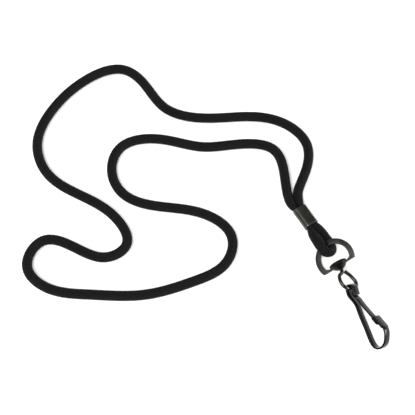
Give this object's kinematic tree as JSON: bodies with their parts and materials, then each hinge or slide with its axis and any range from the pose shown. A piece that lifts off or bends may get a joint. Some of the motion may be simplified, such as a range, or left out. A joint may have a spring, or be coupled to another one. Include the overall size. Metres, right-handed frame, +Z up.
{
  "type": "lanyard",
  "caption": "Round braided neck cord crimped into a loop, with a flat swivel ring, a wire eye and a sprung strip hook.",
  "frame": {"origin": "centre of the crimp's flat underside, on the plane the lanyard lies on", "axes": "+Y along the crimp from the hook to the neck loop, +Z up out of the plane"},
  "size_m": [0.1769, 0.2292, 0.0129],
  "materials": {
    "cord": "braided",
    "crimp": "satin gunmetal plating",
    "ring": "satin black oxide",
    "wire": "black nickel",
    "hook": "glossy black nickel"
  },
  "bodies": {
    "cord": {"neck_cord": "cord", "strand_left": "cord", "strand_right": "cord", "hook_loop": "cord", "crimp_sleeve": "crimp"},
    "ring": {"swivel_ring": "ring"},
    "eye": {"swivel_eye": "wire"},
    "hook": {"hook_body": "hook"},
    "gate": {"hook_gate": "hook"}
  },
  "joints": [
    {"name": "ring_swing", "type": "hinge", "parent": "cord", "child": "ring", "pos_m": [0.00018, -0.02, 0.00575], "axis": [0.8844, -0.1086, 0.454], "range_deg": [-42, 28]},
    {"name": "swivel_spin", "type": "hinge", "parent": "ring", "child": "eye", "pos_m": [-0.0015, -0.0337, 0.00575], "axis": [-0.1219, -0.9925, 0], "continuous": true},
    {"name": "hook_swing", "type": "hinge", "parent": "eye", "child": "hook", "pos_m": [-0.00329, -0.04829, 0.00575], "axis": [-0.7603, 0.0934, 0.6428], "range_deg": [-75, 85]},
    {"name": "gate_press", "type": "hinge", "parent": "hook", "child": "gate", "pos_m": [-0.00417, -0.05258, 0.00534], "axis": [0.7603, -0.0934, -0.6428], "range_deg": [0, 14], "stiffness_Nm_per_rad": 0.06, "springref_deg": -5.73}
  ]
}
